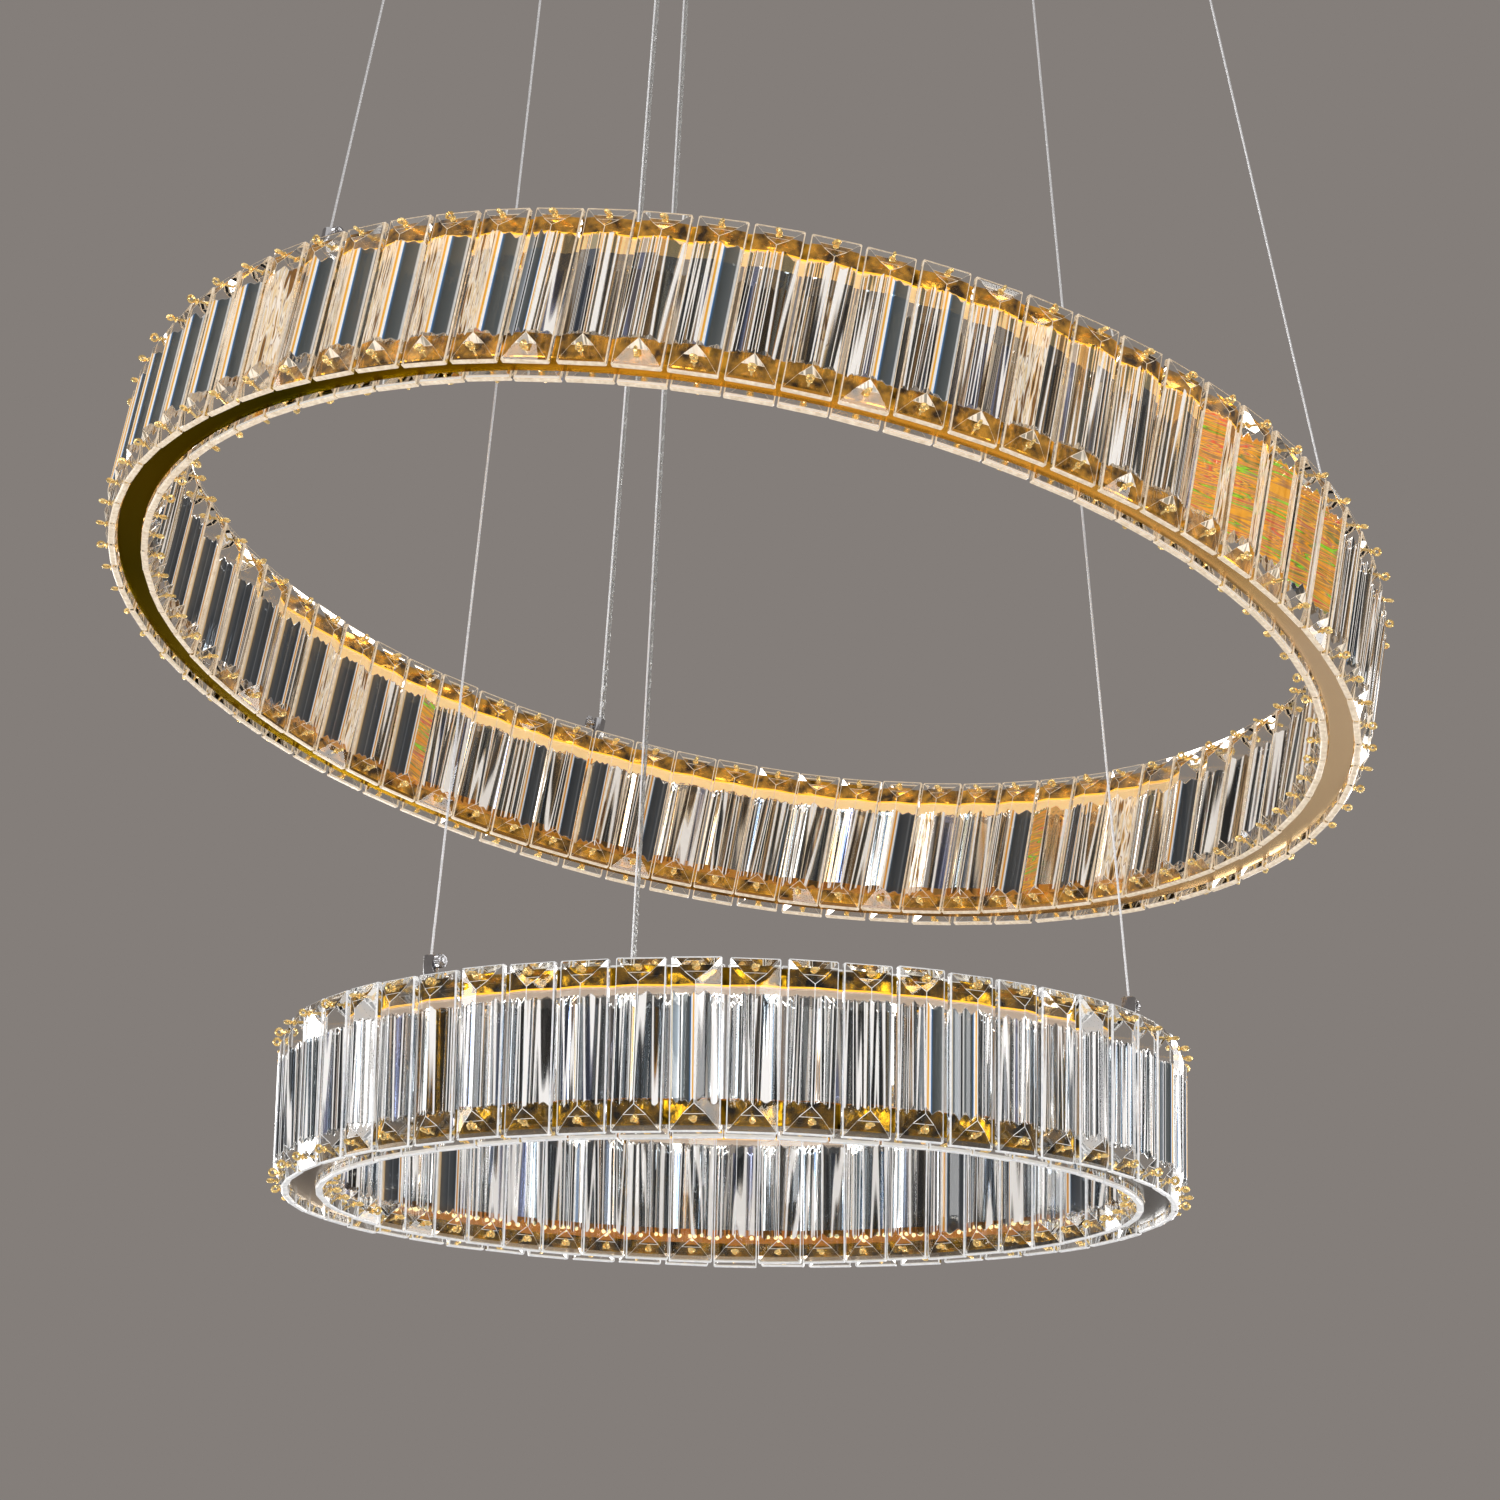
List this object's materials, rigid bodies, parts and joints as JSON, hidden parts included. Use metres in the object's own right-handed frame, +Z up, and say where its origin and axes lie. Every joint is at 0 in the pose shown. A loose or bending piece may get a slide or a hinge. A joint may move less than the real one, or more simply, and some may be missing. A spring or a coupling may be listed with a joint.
{
  "type": "pendant light",
  "caption": "Two-tier ring pendant light: bar crystals pinned to gold hoops, the upper ring tilted, hung on steel cables from a round ceiling canopy.",
  "frame": {"origin": "centre of the canopy's ceiling face", "axes": "+Z up towards the ceiling, +X to the viewer's right, +Y away from the viewer"},
  "size_m": [0.6062, 0.6064, 1.1532],
  "materials": {
    "gold_band": "polished gold anodised",
    "gold_canopy": "satin gold",
    "crystal": "polished clear facets",
    "light_strip": "warm light strip",
    "chrome": "polished nickel",
    "steel_cable": "stranded steel",
    "clear_plastic": "clear sheath",
    "zinc_steel": "zinc plated",
    "white_plastic": "moulded"
  },
  "bodies": {
    "canopy": {"canopy_cover": "gold_canopy", "mounting_plate": "zinc_steel", "mount_studs": "zinc_steel", "canopy_nuts": "gold_canopy", "driver_upper": "white_plastic", "driver_lower": "white_plastic", "terminal_block": "white_plastic", "cord_glands": "clear_plastic", "upper_gripper_1": "chrome", "upper_gripper_2": "chrome", "upper_gripper_3": "chrome", "upper_cable_1": "steel_cable", "upper_cable_2": "steel_cable", "upper_cable_3": "steel_cable", "upper_power_cord": "clear_plastic", "lower_gripper_1": "chrome", "lower_gripper_2": "chrome", "lower_gripper_3": "chrome", "lower_cable_1": "steel_cable", "lower_cable_2": "steel_cable", "lower_cable_3": "steel_cable", "lower_power_cord": "clear_plastic"},
    "upper_ring": {"upper_top_band": "gold_band", "upper_bottom_band": "gold_band", "upper_top_light_strip": "light_strip", "upper_bottom_light_strip": "light_strip", "upper_outer_crystals": "crystal", "upper_inner_crystals": "crystal", "upper_posts": "gold_band", "upper_hangers": "chrome"},
    "lower_ring": {"lower_top_band": "gold_band", "lower_bottom_band": "gold_band", "lower_top_light_strip": "light_strip", "lower_bottom_light_strip": "light_strip", "lower_outer_crystals": "crystal", "lower_inner_crystals": "crystal", "lower_posts": "gold_band", "lower_hangers": "chrome"},
    "upper_thumb_screw_1": {"upper_thumb_screw_1": "chrome"},
    "upper_thumb_screw_2": {"upper_thumb_screw_2": "chrome"},
    "upper_thumb_screw_3": {"upper_thumb_screw_3": "chrome"},
    "lower_thumb_screw_1": {"lower_thumb_screw_1": "chrome"},
    "lower_thumb_screw_2": {"lower_thumb_screw_2": "chrome"},
    "lower_thumb_screw_3": {"lower_thumb_screw_3": "chrome"},
    "upper_release_1": {"upper_release_1": "chrome"},
    "upper_release_2": {"upper_release_2": "chrome"},
    "upper_release_3": {"upper_release_3": "chrome"},
    "lower_release_1": {"lower_release_1": "chrome"},
    "lower_release_2": {"lower_release_2": "chrome"},
    "lower_release_3": {"lower_release_3": "chrome"}
  },
  "joints": [
    {"name": "upper_ring_height", "type": "slide", "parent": "canopy", "child": "upper_ring", "axis": [0, 0, 1], "range_m": [0, 0.3], "deforming": ["upper_cable_1", "upper_cable_2", "upper_cable_3", "upper_power_cord"]},
    {"name": "lower_ring_height", "type": "slide", "parent": "canopy", "child": "lower_ring", "axis": [0, 0, 1], "range_m": [0, 0.3], "deforming": ["lower_cable_1", "lower_cable_2", "lower_cable_3", "lower_power_cord"]},
    {"name": "upper_thumb_screw_1_turn", "type": "hinge", "parent": "upper_ring", "child": "upper_thumb_screw_1", "pos_m": [-0.18435, -0.20041, -0.75923], "axis": [0.7328, -0.6804, -0.0118], "range_deg": [0, 360]},
    {"name": "upper_thumb_screw_2_turn", "type": "hinge", "parent": "upper_ring", "child": "upper_thumb_screw_2", "pos_m": [-0.07649, 0.28187, -0.85194], "axis": [-0.9444, -0.2657, 0.1937], "range_deg": [0, 360]},
    {"name": "upper_thumb_screw_3_turn", "type": "hinge", "parent": "upper_ring", "child": "upper_thumb_screw_3", "pos_m": [0.29227, 0.00774, -0.86856], "axis": [-0.0276, 0.9883, -0.1499], "range_deg": [0, 360]},
    {"name": "lower_thumb_screw_1_turn", "type": "hinge", "parent": "lower_ring", "child": "lower_thumb_screw_1", "pos_m": [-0.13115, -0.14566, -1.07165], "axis": [0.7431, -0.6691, 0], "range_deg": [0, 360]},
    {"name": "lower_thumb_screw_2_turn", "type": "hinge", "parent": "lower_ring", "child": "lower_thumb_screw_2", "pos_m": [-0.05485, 0.18817, -1.07165], "axis": [-0.96, -0.2798, 0], "range_deg": [0, 360]},
    {"name": "lower_thumb_screw_3_turn", "type": "hinge", "parent": "lower_ring", "child": "lower_thumb_screw_3", "pos_m": [0.17616, -0.08592, -1.07165], "axis": [0.4384, 0.8988, 0], "range_deg": [0, 360]},
    {"name": "upper_release_1_press", "type": "slide", "parent": "canopy", "child": "upper_release_1", "axis": [0, 0, 1], "range_m": [0, 0.002], "stiffness_N_per_m": 200, "springref_m": -0.001},
    {"name": "upper_release_2_press", "type": "slide", "parent": "canopy", "child": "upper_release_2", "axis": [0, 0, 1], "range_m": [0, 0.002], "stiffness_N_per_m": 200, "springref_m": -0.001},
    {"name": "upper_release_3_press", "type": "slide", "parent": "canopy", "child": "upper_release_3", "axis": [0, 0, 1], "range_m": [0, 0.002], "stiffness_N_per_m": 200, "springref_m": -0.001},
    {"name": "lower_release_1_press", "type": "slide", "parent": "canopy", "child": "lower_release_1", "axis": [0, 0, 1], "range_m": [0, 0.002], "stiffness_N_per_m": 200, "springref_m": -0.001},
    {"name": "lower_release_2_press", "type": "slide", "parent": "canopy", "child": "lower_release_2", "axis": [0, 0, 1], "range_m": [0, 0.002], "stiffness_N_per_m": 200, "springref_m": -0.001},
    {"name": "lower_release_3_press", "type": "slide", "parent": "canopy", "child": "lower_release_3", "axis": [0, 0, 1], "range_m": [0, 0.002], "stiffness_N_per_m": 200, "springref_m": -0.001}
  ]
}
